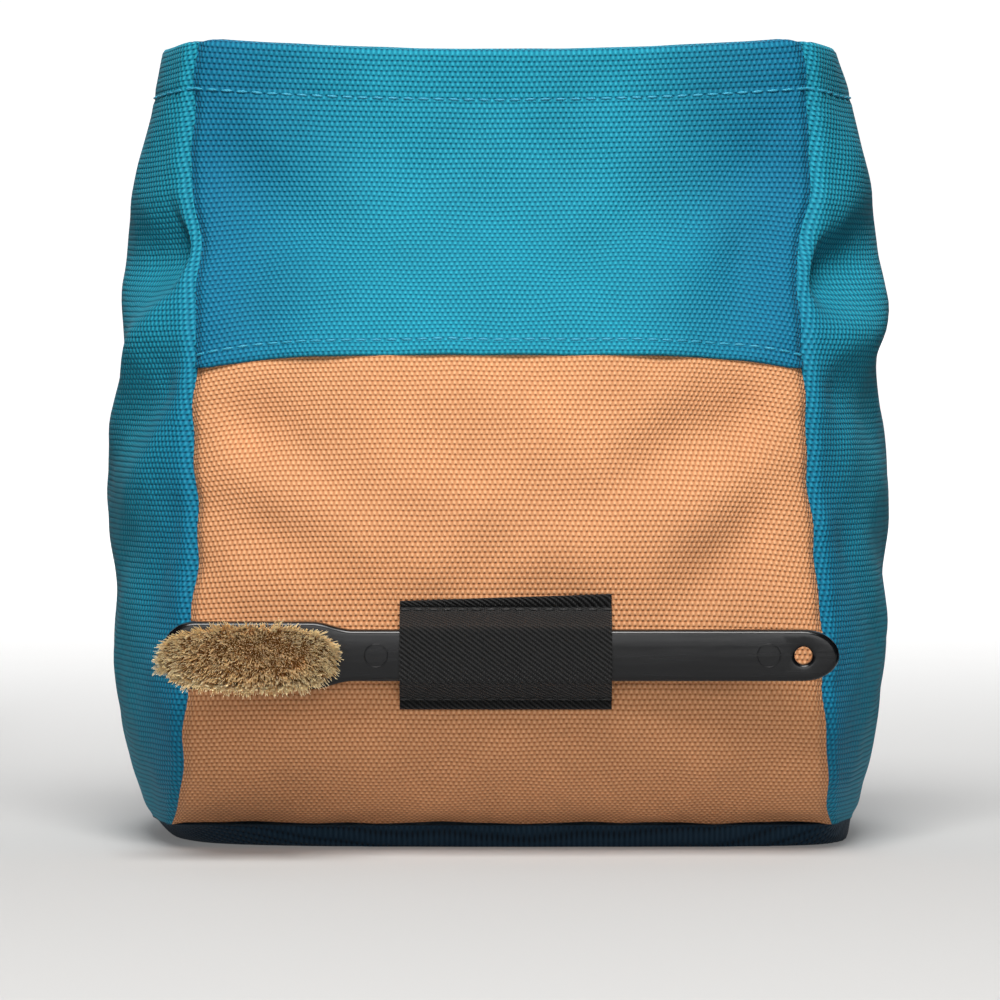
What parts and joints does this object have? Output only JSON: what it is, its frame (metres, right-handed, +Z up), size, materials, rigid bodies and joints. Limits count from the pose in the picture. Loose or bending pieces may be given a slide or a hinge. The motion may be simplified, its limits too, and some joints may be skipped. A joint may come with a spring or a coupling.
{
  "type": "climbing chalk bag",
  "caption": "Soft boxy chalk bucket, open at the mouth, with a two-colour front, bulging side gussets and a dished base, and a brush held across its front in an elastic loop.",
  "frame": {"origin": "on the ground under the middle of the base", "axes": "+Z up towards the mouth, -Y out of the front that carries the brush, +X to the right seen from the front"},
  "size_m": [0.21, 0.1874, 0.212],
  "materials": {
    "blue_green_cloth": "coarse plain-woven nylon, slight sheen",
    "orange_cloth": "coarse plain-woven nylon, slight sheen",
    "navy_cloth": "coarse plain-woven nylon, matt",
    "black_elastic": "twill-woven elastic, matt",
    "black_plastic": "moulded, semi-gloss",
    "boar_bristle": "natural bristle with pale tips"
  },
  "bodies": {
    "bag": {"base_panel": "navy_cloth", "front_lower_panel": "orange_cloth", "front_upper_panel": "blue_green_cloth", "left_side_panel": "blue_green_cloth", "right_side_panel": "blue_green_cloth", "back_panel": "blue_green_cloth", "brush_loop": "black_elastic"},
    "brush": {"brush_handle": "black_plastic", "brush_bristles": "boar_bristle"}
  },
  "joints": [
    {"name": "brush_slide", "type": "slide", "parent": "bag", "child": "brush", "axis": [-1, 0, 0], "range_m": [-0.01, 0.052]}
  ]
}
